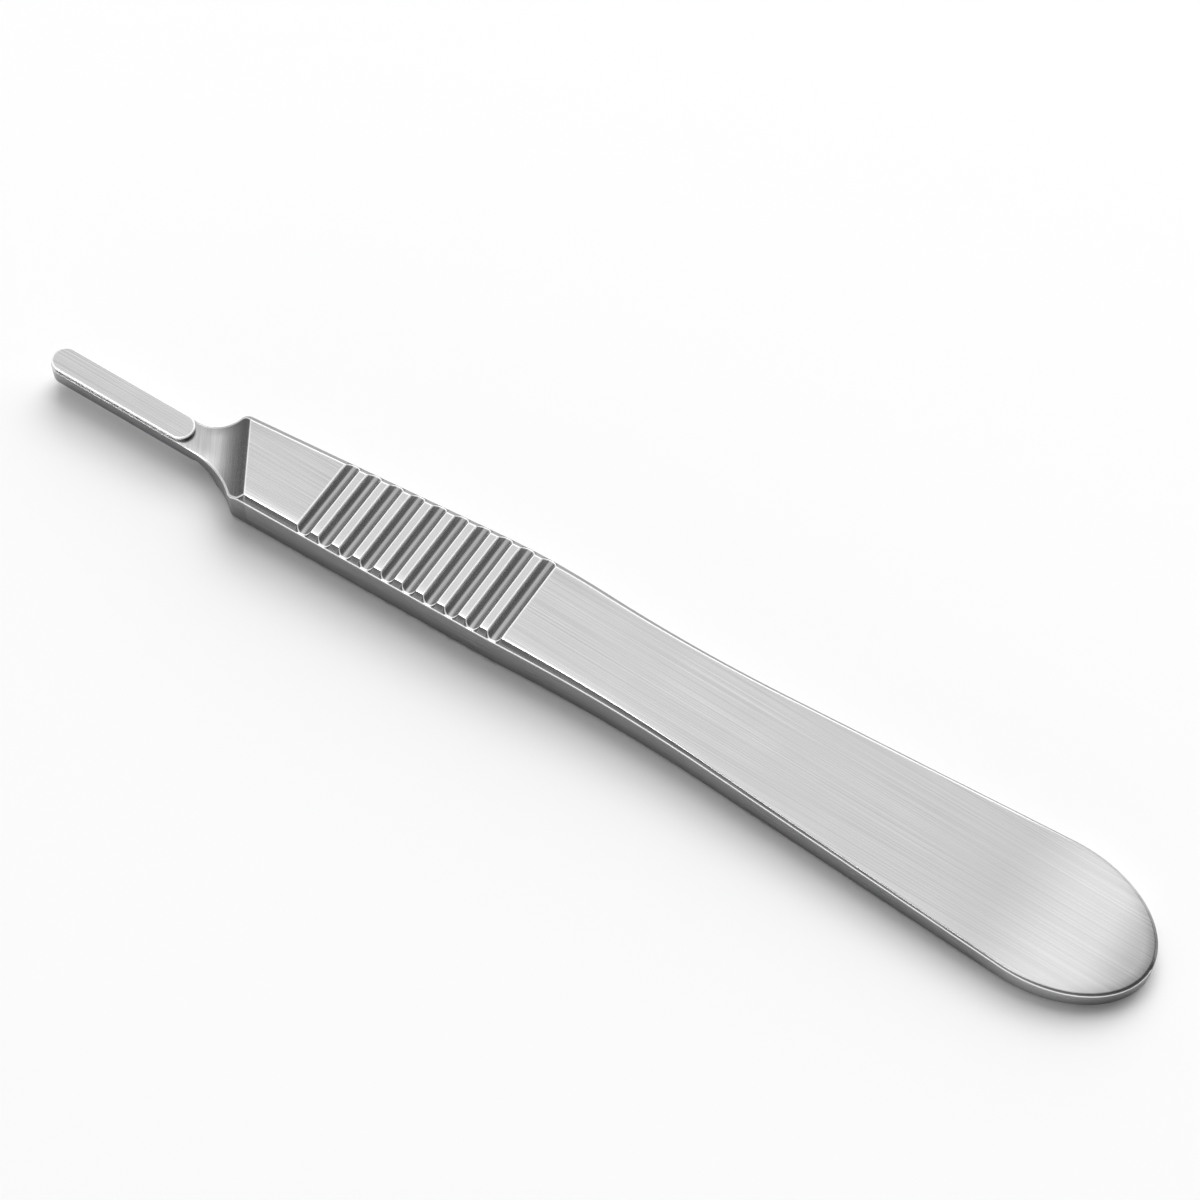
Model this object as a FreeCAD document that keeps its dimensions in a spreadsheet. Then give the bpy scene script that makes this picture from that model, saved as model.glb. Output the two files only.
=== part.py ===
import FreeCAD, Part
import math
import os
import Sketcher

from FreeCAD import Placement, Rotation, Vector

# Scalpel handle: one bar of steel that takes a snap-on blade at its front end.
# X runs along the handle from the tip of the blade fitting to the butt, Z is up, and the far side is +Y.
# In the sketches X starts at the tip; the finished handle is centred over its own underside.

SIZES = [
    ("overall_length", 125.0, "tip of the fitting to the end of the butt"),
    ("body_thickness", 4.95, "underside to the flat top of the grip"),
    ("butt_thickness", 2.35, "underside to the top at the end of the butt"),
    ("top_hollow", 0.17, "how far the long sloping top dips below a straight line"),
    ("slope_start", 55.8, "where the top leaves the flat of the grip"),
    ("grip_bevel", 0.62, "height of the 45 degree bevel beside the grip"),
    ("butt_bevel", 0.25, "height of the same bevel at the butt"),
    ("underside_bevel", 0.30, "edge break around the underside"),
    ("waist_width", 10.08, "narrowest place behind the grip"),
    ("waist_share", 0.552, "where that place is, as a share of the length"),
    ("waist_radius", 190.0, "hollow of the sides at the waist"),
    ("butt_width", 14.95, "widest place, near the butt"),
    ("butt_reach", 11.0, "length of the half ellipse that ends the butt"),
    ("butt_offset", 0.24, "centre of that ellipse, from the long axis to the far side"),
    ("front_station", 26.3, "where the front widths are taken"),
    ("grip_station", 51.0, "where the grip widths are taken"),
    ("front_near", 6.00, "near side from the long axis at the front station"),
    ("front_far", 2.98, "far side from the long axis at the front station"),
    ("grip_near", 5.58, "near side from the long axis at the grip station"),
    ("grip_far", 5.02, "far side from the long axis at the grip station"),
    ("grip_radius", 110.0, "rounding of the sides where the grip ends"),
    ("shoulder_corner", 1.1, "plan radius of the two front corners"),
    ("neck_near_radius", 9.4, "hollow of the neck on the near side"),
    ("neck_near_start", 18.4, "where that hollow leaves the fitting"),
    ("neck_far_radius", 4.75, "hollow of the neck on the far side"),
    ("neck_far_start", 16.65, "where that hollow leaves the fitting"),
    ("root_run", 1.0, "straight start of the outline, ahead of the hollow on the far side"),
    ("fitting_offset", 1.99, "centre line of the fitting, from the long axis to the near side"),
    ("base_width", 3.10, "bar below the blade slot"),
    ("base_bottom", 1.50, "underside of the fitting above the rest plane"),
    ("base_thickness", 1.80, "underside of the fitting to the blade slot"),
    ("base_length", 17.55, "tip to the rear end of the fitting"),
    ("slot_height", 0.33, "blade slot"),
    ("slot_depth", 0.28, "blade slot, in from the side of the base"),
    ("key_inset", 0.10, "key head, in from the side of the base"),
    ("key_height", 0.26, "key head above the blade slot"),
    ("key_round", 0.12, "round on the upper edge of the key head"),
    ("shoulder_angle", 31.7, "slant of the shoulder edge, in plan"),
    ("shoulder_station", 24.33, "where the shoulder edge crosses the centre line of the fitting"),
    ("scoop_radius", 8.0, "hollow in front of the shoulder; it ends level with the blade slot"),
    ("relief_radius", 2.4, "hollow under the root of the fitting"),
    ("relief_station", 5.7, "where that hollow ends, ahead of the shoulder edge"),
    ("relief_step", 0.20, "how far it ends above the underside of the fitting"),
    ("groove_count", 10, "cross grooves of the grip"),
    ("groove_pitch", 2.464, "spacing of the grooves"),
    ("groove_first", 33.6, "centre of the front groove"),
    ("groove_width", 1.59, "width of a groove at the top face"),
    ("groove_depth", 0.54, "depth of a groove in the top face"),
    ("under_groove_depth", 0.26, "depth of a groove in the underside"),
]

document = FreeCAD.newDocument("scalpel_handle")
sheet = document.addObject("Spreadsheet::Sheet", "Sizes")
for row, (name, size, note) in enumerate(SIZES, start=1):
    sheet.set(f"A{row}", name)
    sheet.set(f"B{row}", str(size))
    sheet.set(f"C{row}", note)
    sheet.setAlias(f"B{row}", name)
document.recompute()


def size(name):
    return float(sheet.get(name))


# Plan outline, worked out one side at a time with +Y as outward

OUTWARD = {"far": 1, "near": -1}
SAME_PLACE = 0.001
SETTLING_STEPS = 60


def front_line(side):
    """Start height and slope of the straight front edge of one side, outward from the long axis."""
    start = size(f"front_{side}")
    slope = (size(f"grip_{side}") - start) / (size("grip_station") - size("front_station"))
    return start - slope * size("front_station"), slope


def rounded_corner(line, radius, hollow, hollow_radius, direction):
    """Centre of the round that touches a straight edge from inside and a hollow from outside."""
    height, slope = line
    steep = math.hypot(1.0, slope)
    drop = height + slope * hollow.x - radius * steep - hollow.y
    reach = radius + hollow_radius
    root = math.sqrt((drop * slope) ** 2 - steep ** 2 * (drop ** 2 - reach ** 2))
    offset = (-drop * slope + direction * root) / steep ** 2
    return Vector(hollow.x + offset, hollow.y + drop + slope * offset, 0)


def between(first, second, distance):
    """The point at a distance from the first point, on the way to the second."""
    return first + (second - first).normalize() * distance


def foot(line, centre):
    """The point of a straight edge that lies nearest to a centre."""
    height, slope = line
    x = (centre.x + slope * (centre.y - height)) / (1.0 + slope ** 2)
    return Vector(x, height + slope * x, 0)


def flare_slope(side):
    """Slope of the straight flare that touches the waist hollow and the butt ellipse."""
    length = (1.0 - size("waist_share")) * size("overall_length") - size("butt_reach")
    slope = 0.0
    for _ in range(SETTLING_STEPS):
        ellipse_rise = math.hypot(size("butt_reach") * slope, size("butt_width") / 2)
        hollow_rise = size("waist_radius") * (math.hypot(1.0, slope) - 1.0)
        offset = OUTWARD[side] * size("butt_offset")
        slope = (offset + ellipse_rise + hollow_rise - size("waist_width") / 2) / length
    return slope


def side_curves(side):
    """Curves of one side from the fitting to the butt, with the points where they meet, outward as +Y."""
    line = front_line(side)
    fitting_side = size("base_width") / 2 - OUTWARD[side] * size("fitting_offset")
    neck_radius = size(f"neck_{side}_radius")
    neck = Vector(size(f"neck_{side}_start"), fitting_side + neck_radius, 0)
    corner = rounded_corner(line, size("shoulder_corner"), neck, neck_radius, +1)
    waist_x = size("waist_share") * size("overall_length")
    waist = Vector(waist_x, size("waist_width") / 2 + size("waist_radius"), 0)
    grip = rounded_corner(line, size("grip_radius"), waist, size("waist_radius"), -1)
    slope = flare_slope(side)
    waist_turn = Vector(slope, -1, 0).normalize() * size("waist_radius")
    ellipse_rise = math.hypot(size("butt_reach") * slope, size("butt_width") / 2)
    butt_x = size("overall_length") - size("butt_reach") - size("butt_reach") ** 2 * slope / ellipse_rise
    butt_y = OUTWARD[side] * size("butt_offset") + (size("butt_width") / 2) ** 2 / ellipse_rise
    return {
        "root": Vector(size("neck_far_start") - size("root_run"), fitting_side, 0),
        "neck start": Vector(neck.x, fitting_side, 0),
        "neck centre": neck,
        "corner start": between(neck, corner, neck_radius),
        "corner centre": corner,
        "line start": foot(line, corner),
        "line end": foot(line, grip),
        "grip centre": grip,
        "waist start": between(waist, grip, size("waist_radius")),
        "waist centre": waist,
        "waist end": waist + waist_turn,
        "flare end": Vector(butt_x, butt_y, 0),
    }


def flipped(point):
    return Vector(point.x, -point.y, point.z)


def short_arc(centre, start, end):
    """The shorter arc about a centre between two points."""
    start_angle = math.atan2(start.y - centre.y, start.x - centre.x)
    end_angle = math.atan2(end.y - centre.y, end.x - centre.x)
    if (end_angle - start_angle) % math.tau > math.pi:
        start_angle, end_angle = end_angle, start_angle
    circle = Part.Circle(centre, Vector(0, 0, 1), (start - centre).Length)
    return Part.ArcOfCircle(circle, start_angle, end_angle)


def origin_feature(body, role):
    return next(feature for feature in body.Origin.OriginFeatures if feature.Role == role)


def shared_ends(sketch, first, second):
    """Which end of one curve lies on which end of another."""
    pairs = [(a, b) for a in (1, 2) for b in (1, 2)]
    gaps = [(sketch.getPoint(first, a) - sketch.getPoint(second, b)).Length for a, b in pairs]
    return pairs[gaps.index(min(gaps))]


def join(sketch, first, second, kind):
    """Tie two curves at their shared end, as a Tangent or a Coincident joint."""
    a, b = shared_ends(sketch, first, second)
    sketch.addConstraint(Sketcher.Constraint(kind, first, a, second, b))


def drive(sketch, name, expression, *constraint):
    """Add a sized constraint whose size follows an expression of the sheet."""
    number = sketch.addConstraint(Sketcher.Constraint(*constraint))
    sketch.renameConstraint(number, name)
    sketch.setExpression(f"Constraints.{name}", expression)


ORIGIN = (-1, 1)


def place_point(sketch, name, x_rule, y_rule, curve, end):
    """Hold one end of a curve at a place that follows the sheet."""
    spot = sketch.getPoint(curve, end)
    drive(sketch, f"{name}_x", x_rule, "DistanceX", *ORIGIN, curve, end, spot.x)
    drive(sketch, f"{name}_y", y_rule, "DistanceY", *ORIGIN, curve, end, spot.y)


def draw_side(sketch, side):
    """Draw one side of the plan outline, and tie its curves to the sheet."""
    place = flipped if side == "near" else Vector
    sign = "-" if side == "near" else ""
    point = {name: place(where) for name, where in side_curves(side).items()}

    def line(start, end):
        return sketch.addGeometry(Part.LineSegment(point[start], point[end]), False)

    def arc(centre, start, end):
        return sketch.addGeometry(short_arc(point[centre], point[start], point[end]), False)

    fitting_edge = line("root", "neck start")
    neck = arc("neck centre", "neck start", "corner start")
    corner = arc("corner centre", "corner start", "line start")
    front = line("line start", "line end")
    grip = arc("grip centre", "line end", "waist start")
    waist = arc("waist centre", "waist start", "waist end")
    flare = line("waist end", "flare end")
    chain = [fitting_edge, neck, corner, front, grip, waist, flare]
    for first, second in zip(chain, chain[1:]):
        join(sketch, first, second, "Tangent")
    sketch.addConstraint(Sketcher.Constraint("Horizontal", fitting_edge))
    place_point(sketch, f"{side}_root", "Sizes.neck_far_start - Sizes.root_run",
                f"{sign}Sizes.base_width / 2 - Sizes.fitting_offset", fitting_edge, 1)
    drive(sketch, f"{side}_neck_start", f"Sizes.neck_{side}_start",
          "DistanceX", *ORIGIN, neck, 3, point["neck centre"].x)
    for name, curve, expression in (
        ("neck_radius", neck, f"Sizes.neck_{side}_radius"),
        ("corner_radius", corner, "Sizes.shoulder_corner"),
        ("grip_radius", grip, "Sizes.grip_radius"),
        ("waist_radius", waist, "Sizes.waist_radius"),
    ):
        drive(sketch, f"{side}_{name}", expression, "Radius", curve, sketch.Geometry[curve].Radius)
    for station in ("front", "grip"):
        spot = place(Vector(size(f"{station}_station"), size(f"{station}_{side}"), 0))
        mark = sketch.addGeometry(Part.Point(spot), True)
        sketch.addConstraint(Sketcher.Constraint("PointOnObject", mark, 1, front))
        place_point(sketch, f"{side}_{station}", f"Sizes.{station}_station",
                    f"{sign}Sizes.{station}_{side}", mark, 1)
    place_point(sketch, f"{side}_waist", "Sizes.waist_share * Sizes.overall_length",
                f"{sign}(Sizes.waist_width / 2 + Sizes.waist_radius)", waist, 3)
    return fitting_edge, flare


def draw_plan(sketch):
    """The outline seen from above: two sides, the end at the fitting and the half ellipse of the butt."""
    near_root, near_flare = draw_side(sketch, "near")
    far_root, far_flare = draw_side(sketch, "far")
    root = Part.LineSegment(sketch.getPoint(near_root, 1), sketch.getPoint(far_root, 1))
    root_edge = sketch.addGeometry(root, False)
    join(sketch, root_edge, near_root, "Coincident")
    join(sketch, root_edge, far_root, "Coincident")
    centre = Vector(size("overall_length") - size("butt_reach"), size("butt_offset"), 0)
    ellipse = Part.Ellipse(centre, size("butt_reach"), size("butt_width") / 2)
    near_end = ellipse.parameter(flipped(side_curves("near")["flare end"]))
    far_end = ellipse.parameter(side_curves("far")["flare end"])
    butt = sketch.addGeometry(Part.ArcOfEllipse(ellipse, near_end, far_end), False)
    join(sketch, near_flare, butt, "Tangent")
    join(sketch, far_flare, butt, "Tangent")
    sketch.exposeInternalGeometry(butt)
    major, minor = butt + 1, butt + 2
    sketch.addConstraint(Sketcher.Constraint("Horizontal", major))
    place_point(sketch, "butt_centre", "Sizes.overall_length - Sizes.butt_reach",
                "Sizes.butt_offset", butt, 3)
    drive(sketch, "butt_major", "2 * Sizes.butt_reach", "Distance", major, 2 * size("butt_reach"))
    drive(sketch, "butt_minor", "Sizes.butt_width", "Distance", minor, size("butt_width"))


# Sections of the cuts, drawn on the upright plane along the handle or on one turned to the shoulder edge

CLEARANCE = 2.0
SLOT_FLOOR = "Sizes.base_bottom + Sizes.base_thickness"


def draw_top_slope(sketch):
    """What is cut off above the long sloping top: its lower edge is one very flat hollow arc."""
    start = Vector(size("slope_start"), size("body_thickness"), 0)
    end = Vector(size("overall_length"), size("butt_thickness"), 0)
    middle = (start + end) * 0.5 - Vector(0, size("top_hollow"), 0)
    beyond = end + Vector(CLEARANCE, 0, 0)
    over_beyond = Vector(beyond.x, start.y + CLEARANCE, 0)
    over_start = Vector(start.x, start.y + CLEARANCE, 0)
    hollow = sketch.addGeometry(Part.Arc(start, middle, end), False)
    corners = [end, beyond, over_beyond, over_start, start]
    edges = [sketch.addGeometry(Part.LineSegment(a, b), False) for a, b in zip(corners, corners[1:])]
    for first, second in zip([hollow] + edges, edges + [hollow]):
        join(sketch, first, second, "Coincident")
    for edge, kind in zip(edges, ("Horizontal", "Vertical", "Horizontal", "Vertical")):
        sketch.addConstraint(Sketcher.Constraint(kind, edge))
    place_point(sketch, "start", "Sizes.slope_start", "Sizes.body_thickness", edges[3], 2)
    place_point(sketch, "end", "Sizes.overall_length", "Sizes.butt_thickness", edges[0], 1)
    place_point(sketch, "over_beyond", f"Sizes.overall_length + {CLEARANCE}",
                f"Sizes.body_thickness + {CLEARANCE}", edges[1], 2)
    low = sketch.addGeometry(Part.Point(middle), True)
    sketch.addConstraint(Sketcher.Constraint("PointOnObject", low, 1, hollow))
    place_point(sketch, "low", "(Sizes.slope_start + Sizes.overall_length) / 2",
                "(Sizes.body_thickness + Sizes.butt_thickness) / 2 - Sizes.top_hollow", low, 1)


def draw_groove(sketch, depth_name, surface_rule, surface, upward):
    """The round section of one groove: its width is taken at the flat top face."""
    width, deep = size("groove_width"), size("groove_depth")
    radius = (width ** 2 / 4 + deep ** 2) / (2 * deep)
    radius_rule = "((Sizes.groove_width / 2) ^ 2 + Sizes.groove_depth ^ 2) / (2 * Sizes.groove_depth)"
    lift = radius - size(depth_name)
    centre = Vector(size("groove_first"), surface + upward * lift, 0)
    circle = sketch.addGeometry(Part.Circle(centre, Vector(0, 0, 1), radius), False)
    drive(sketch, "radius", radius_rule, "Radius", circle, radius)
    lift_rule = f"({radius_rule} - Sizes.{depth_name})"
    sign = "+" if upward > 0 else "-"
    place_point(sketch, "centre", "Sizes.groove_first", f"{surface_rule} {sign} {lift_rule}", circle, 3)


def turn_to_shoulder(sketch):
    """Turn a sketch about the upright line through the shoulder edge, to look along that edge."""
    sketch.AttachmentOffset = Placement(Vector(), Rotation(Vector(0, 1, 0), size("shoulder_angle")))
    sketch.setExpression("AttachmentOffset.Rotation.Angle", "Sizes.shoulder_angle * 1 deg")
    sketch.setExpression("AttachmentOffset.Base.x", "Sizes.shoulder_station * 1 mm")
    sketch.setExpression("AttachmentOffset.Base.z", "Sizes.fitting_offset * 1 mm")


def draw_hollow(sketch, edge, floor, radius_rule, edge_rule, floor_rule, held, station_rule):
    """A hollow cut: an arc from its edge to its floor, then level, out past the tip of the fitting.

    The station rule holds either the edge or the start of the level floor, as named by held.
    """
    upward = 1 if edge.y > floor.y else -1
    reach = -size("overall_length") / 2
    outside = edge.y + upward * CLEARANCE
    run, rise = edge.x - floor.x, abs(edge.y - floor.y)
    radius = (run ** 2 + rise ** 2) / (2 * rise)
    hollow = sketch.addGeometry(short_arc(floor + Vector(0, upward * radius, 0), edge, floor), False)
    beyond, outside_beyond = Vector(reach, floor.y, 0), Vector(reach, outside, 0)
    corners = [floor, beyond, outside_beyond, Vector(edge.x, outside, 0), edge]
    edges = [sketch.addGeometry(Part.LineSegment(a, b), False) for a, b in zip(corners, corners[1:])]
    join(sketch, hollow, edges[0], "Tangent")
    for first, second in zip(edges, edges[1:] + [hollow]):
        join(sketch, first, second, "Coincident")
    for line, kind in zip(edges, ("Horizontal", "Vertical", "Horizontal", "Vertical")):
        sketch.addConstraint(Sketcher.Constraint(kind, line))
    end = (edges[3], 2) if held == "edge" else (edges[0], 1)
    drive(sketch, "station", station_rule, "DistanceX", *ORIGIN, *end, sketch.getPoint(*end).x)
    drive(sketch, "radius", radius_rule, "Radius", hollow, radius)
    drive(sketch, "edge", edge_rule, "DistanceY", *ORIGIN, edges[3], 2, edge.y)
    place_point(sketch, "reach", "-Sizes.overall_length / 2", floor_rule, edges[0], 2)
    drive(sketch, "outside", f"{edge_rule} {'+' if upward > 0 else '-'} {CLEARANCE}",
          "DistanceY", *ORIGIN, edges[1], 2, outside)


def arc_run(radius, rise):
    """How far an arc runs level while it rises from its lowest point."""
    return math.sqrt(radius ** 2 - (radius - rise) ** 2)


def draw_scoop(sketch):
    """The hollow in front of the shoulder, from the sharp shoulder edge down to the floor of the slot."""
    turn_to_shoulder(sketch)
    top = size("body_thickness")
    floor = size("base_bottom") + size("base_thickness")
    run = arc_run(size("scoop_radius"), top - floor)
    draw_hollow(sketch, Vector(0, top, 0), Vector(-run, floor, 0), "Sizes.scoop_radius",
                "Sizes.body_thickness", SLOT_FLOOR, "edge", "0")


def draw_relief(sketch):
    """The hollow under the root of the fitting: it ends just above the underside of the fitting."""
    turn_to_shoulder(sketch)
    roof = size("base_bottom") + size("relief_step")
    start = -size("relief_station")
    run = arc_run(size("relief_radius"), roof)
    draw_hollow(sketch, Vector(start + run, 0, 0), Vector(start, roof, 0), "Sizes.relief_radius",
                "0", "Sizes.base_bottom + Sizes.relief_step", "floor", "-Sizes.relief_station")


def draw_stadium(sketch, inset_name):
    """A bar with round ends, seen from above, set in from the side of the fitting's base."""
    inset = size(inset_name) if inset_name else 0.0
    inset_rule = f" - Sizes.{inset_name}" if inset_name else ""
    half = size("base_width") / 2
    radius = half - inset
    y = -size("fitting_offset")
    front, rear = Vector(half, y, 0), Vector(size("base_length") - half, y, 0)
    side = Vector(0, radius, 0)
    near = sketch.addGeometry(Part.LineSegment(front - side, rear - side), False)
    end = sketch.addGeometry(Part.Arc(rear - side, rear + Vector(radius, 0, 0), rear + side), False)
    far = sketch.addGeometry(Part.LineSegment(rear + side, front + side), False)
    tip = sketch.addGeometry(Part.Arc(front + side, front - Vector(radius, 0, 0), front - side), False)
    for first, second in ((near, end), (end, far), (far, tip), (tip, near)):
        join(sketch, first, second, "Tangent")
    sketch.addConstraint(Sketcher.Constraint("Equal", end, tip))
    drive(sketch, "radius", f"Sizes.base_width / 2{inset_rule}", "Radius", end, radius)
    place_point(sketch, "front", "Sizes.base_width / 2", "-Sizes.fitting_offset", tip, 3)
    place_point(sketch, "rear", "Sizes.base_length - Sizes.base_width / 2",
                "-Sizes.fitting_offset", end, 3)


def new_sketch(body, name, plane_role, draw, *details):
    """A sketch on one of the origin planes of its own body, fully held by its sizes."""
    sketch = body.newObject("Sketcher::SketchObject", name)
    sketch.AttachmentSupport = [(origin_feature(body, plane_role), "")]
    sketch.MapMode = "FlatFace"
    draw(sketch, *details)
    document.recompute()
    if not sketch.FullyConstrained:
        raise RuntimeError(f"{name} is not fully held by its sizes")
    return sketch


def level_edges(shape, height):
    """The names of a shape's edges that lie level at one height."""
    names = []
    for number, edge in enumerate(shape.Edges, start=1):
        box = edge.BoundBox
        if max(abs(box.ZMin - height), abs(box.ZMax - height)) < SAME_PLACE:
            names.append(f"Edge{number}")
    return names


# The bar, with everything that is cut out of it

def cut(body, name, sketch):
    """Cut a section right through the bar, both ways from its plane."""
    before = body.Shape.Volume
    pocket = body.newObject("PartDesign::Pocket", name)
    pocket.Profile = sketch
    pocket.Type = "ThroughAll"
    pocket.Midplane = True
    document.recompute()
    if not pocket.Shape.Volume < before - SAME_PLACE:
        raise RuntimeError(f"{name} cuts nothing")
    return pocket


def cut_row(body, name, sketch):
    """Cut one groove and repeat it along the grip."""
    groove = cut(body, name, sketch)
    row = body.newObject("PartDesign::LinearPattern", f"{name}Row")
    row.Originals = [groove]
    row.Direction = (origin_feature(body, "X_Axis"), [""])
    row.setExpression("Occurrences", "Sizes.groove_count")
    row.setExpression("Length", "Sizes.groove_pitch * (Sizes.groove_count - 1)")
    body.Tip = row
    document.recompute()
    return row


def make_bar():
    body = document.addObject("PartDesign::Body", "Bar")
    plan = new_sketch(body, "PlanOutline", "XY_Plane", draw_plan)
    pad = body.newObject("PartDesign::Pad", "Blank")
    pad.Profile = plan
    pad.setExpression("Length", "Sizes.body_thickness")
    document.recompute()
    bevel = body.newObject("PartDesign::Chamfer", "UndersideBevel")
    bevel.Base = (pad, level_edges(pad.Shape, pad.Shape.BoundBox.ZMin))
    bevel.setExpression("Size", "Sizes.underside_bevel")
    document.recompute()
    cut(body, "TopSlope", new_sketch(body, "TopSlopeSection", "XZ_Plane", draw_top_slope))
    top = new_sketch(body, "GrooveSection", "XZ_Plane", draw_groove,
                     "groove_depth", "Sizes.body_thickness", size("body_thickness"), +1)
    cut_row(body, "Groove", top)
    under = new_sketch(body, "UnderGrooveSection", "XZ_Plane", draw_groove,
                       "under_groove_depth", "0", 0.0, -1)
    cut_row(body, "UnderGroove", under)
    cut(body, "Scoop", new_sketch(body, "ScoopSection", "XZ_Plane", draw_scoop))
    cut(body, "Relief", new_sketch(body, "ReliefSection", "XZ_Plane", draw_relief))
    return body, plan


# The bevel along both upper edges. It is level beside the grip, and behind it narrows towards the butt

BEVEL_EXTRA = 0.15


def keep_below(plan, foot):
    """All that lies below a level 45 degree bevel whose lower edge follows the outline at one height."""
    over = (1.0 + BEVEL_EXTRA) * size("grip_bevel")
    under = BEVEL_EXTRA * size("grip_bevel")
    outline = plan.Shape.Wires[0]
    wide = outline.makeOffset2D(under, 2)
    wide.translate(Vector(0, 0, foot - under))
    narrow = outline.makeOffset2D(-over, 2)
    narrow.translate(Vector(0, 0, foot + over))
    cap = Part.makeLoft([wide, narrow], True, True)
    length = size("overall_length") + 2 * CLEARANCE
    width = size("butt_width") + 4 * CLEARANCE
    height = foot - under + CLEARANCE
    slab = Part.makeBox(length, width, height, Vector(-CLEARANCE, -width / 2, -CLEARANCE))
    return slab.fuse(cap)


def make_bevels(plan):
    foot = size("body_thickness") - size("grip_bevel")
    level = keep_below(plan, foot)
    grip_bevel = document.addObject("Part::Feature", "GripBevel")
    grip_bevel.Shape = level
    fall = foot - (size("butt_thickness") - size("butt_bevel"))
    slope = -fall / (size("overall_length") - size("slope_start"))
    lean = FreeCAD.Matrix()
    lean.A31 = slope
    lean.A34 = -slope * size("slope_start")
    rear_bevel = document.addObject("Part::Feature", "RearBevel")
    rear_bevel.Shape = level.transformGeometry(lean)
    return grip_bevel, rear_bevel


# The blade fitting: base bar, blade slot and key head

def add_layer(body, name, inset_name, bottom_rule, height_name):
    """One level of the fitting: a bar with round ends, from its bottom up by its own height."""
    sketch = new_sketch(body, f"{name}Section", "XY_Plane", draw_stadium, inset_name)
    sketch.setExpression("AttachmentOffset.Base.z", f"({bottom_rule}) * 1 mm")
    pad = body.newObject("PartDesign::Pad", name)
    pad.Profile = sketch
    pad.setExpression("Length", f"Sizes.{height_name}")
    document.recompute()
    return pad


def make_fitting():
    body = document.addObject("PartDesign::Body", "Fitting")
    add_layer(body, "Base", None, "Sizes.base_bottom", "base_thickness")
    add_layer(body, "SlotCore", "slot_depth", SLOT_FLOOR, "slot_height")
    head = add_layer(body, "KeyHead", "key_inset", f"{SLOT_FLOOR} + Sizes.slot_height", "key_height")
    rounding = body.newObject("PartDesign::Fillet", "KeyRound")
    rounding.Base = (head, level_edges(head.Shape, head.Shape.BoundBox.ZMax))
    rounding.setExpression("Radius", "Sizes.key_round")
    document.recompute()
    return body


def make_handle():
    bar, plan = make_bar()
    bevelled = document.addObject("Part::MultiCommon", "BevelledBar")
    bevelled.Shapes = [bar, *make_bevels(plan)]
    handle = document.addObject("Part::MultiFuse", "Handle")
    handle.Shapes = [bevelled, make_fitting()]
    handle.Refine = True
    handle.Label = "handle"
    handle.setExpression("Placement.Base.x", "-Sizes.overall_length / 2")
    handle.setExpression("Placement.Base.y", "-Sizes.butt_offset")
    document.recompute()
    return handle


def check(parts):
    """Stop if any object has failed, or if a finished part isn't one sound solid."""
    for item in document.Objects:
        if "Invalid" in item.State or "Error" in item.State:
            raise RuntimeError(f"{item.Label} failed: {item.State}")
    for item in parts:
        shape = item.Shape
        if shape.isNull() or not shape.isValid() or len(shape.Solids) != 1:
            raise RuntimeError(f"{item.Label} is not one sound solid")


parts = [make_handle()]
check(parts)
os.makedirs("parts", exist_ok=True)
for item in parts:
    item.Shape.exportStep(f"parts/{item.Label}.step")
    box = item.Shape.BoundBox
    print(f"{item.Label}: {item.Shape.Volume:.1f} mm3, {len(item.Shape.Faces)} faces,"
          f" {box.XLength:.2f} x {box.YLength:.2f} x {box.ZLength:.2f} mm")
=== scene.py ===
# %% [markdown]
# # A scalpel handle in brushed steel
# A scalpel handle is one bar of stainless steel. Its front end is ground down to a narrow fitting that a
# blade snaps onto, its middle has cross grooves for the fingers, and its rear runs out in a long flat tail.
# The solid was drawn in CAD. Here the same form gets a finer skin, with the small rounds and the brushing
# that the steel has, and with painted highlights and painted shade on its edges, on a plain pale floor.

# %% Load the solid model
import math

import bmesh
import bpy
import numpy as np
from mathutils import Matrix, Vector


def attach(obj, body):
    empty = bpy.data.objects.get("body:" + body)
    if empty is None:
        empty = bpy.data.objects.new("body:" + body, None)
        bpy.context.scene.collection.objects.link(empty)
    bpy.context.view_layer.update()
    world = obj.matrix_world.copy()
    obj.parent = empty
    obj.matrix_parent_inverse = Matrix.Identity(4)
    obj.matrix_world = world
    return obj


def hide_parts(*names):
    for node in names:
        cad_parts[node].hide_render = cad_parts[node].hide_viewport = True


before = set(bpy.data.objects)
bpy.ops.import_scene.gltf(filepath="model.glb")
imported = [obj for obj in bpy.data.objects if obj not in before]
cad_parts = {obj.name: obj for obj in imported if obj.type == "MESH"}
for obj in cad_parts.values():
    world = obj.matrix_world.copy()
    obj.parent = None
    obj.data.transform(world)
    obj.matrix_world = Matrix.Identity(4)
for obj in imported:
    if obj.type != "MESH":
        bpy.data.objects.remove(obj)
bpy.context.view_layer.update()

# %% [markdown]
# ## The frame of the handle
# Sizes here are in millimetres, as on a workshop drawing. Stations run along the handle from the tip of the
# fitting. The solid model is centred over its underside and in metres, so one function takes a point of the
# drawing there, and every mesh is made with it.

# %% From the drawing to the scene
LENGTH = 125.0
BUTT_OFFSET = 0.24
MILLIMETRE = 0.001


def to_scene(points):
    """Points of the drawing, in the frame of the solid model and in metres."""
    return (np.asarray(points, float) - [LENGTH / 2, BUTT_OFFSET, 0]) * MILLIMETRE


print("tip and end of the butt, m:", to_scene([[0, 0, 0], [LENGTH, 0, 0]])[:, 0])

# %% [markdown]
# ## The outline from above
# The bar is cut to its outline before anything else. Each side is a chain of lines and arcs that touch each
# other: fitting, hollow of the neck, front corner, straight front edge, rounding behind the grip, hollow
# waist, flare and butt. It could be a curve with handles set by eye, but a chain worked out from a few sizes
# is smooth by itself and matches the solid. It is worked out for one side, as seen from the long axis
# outward, and then sampled evenly. The points also give the way in from the side, for the ground edges.

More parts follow.
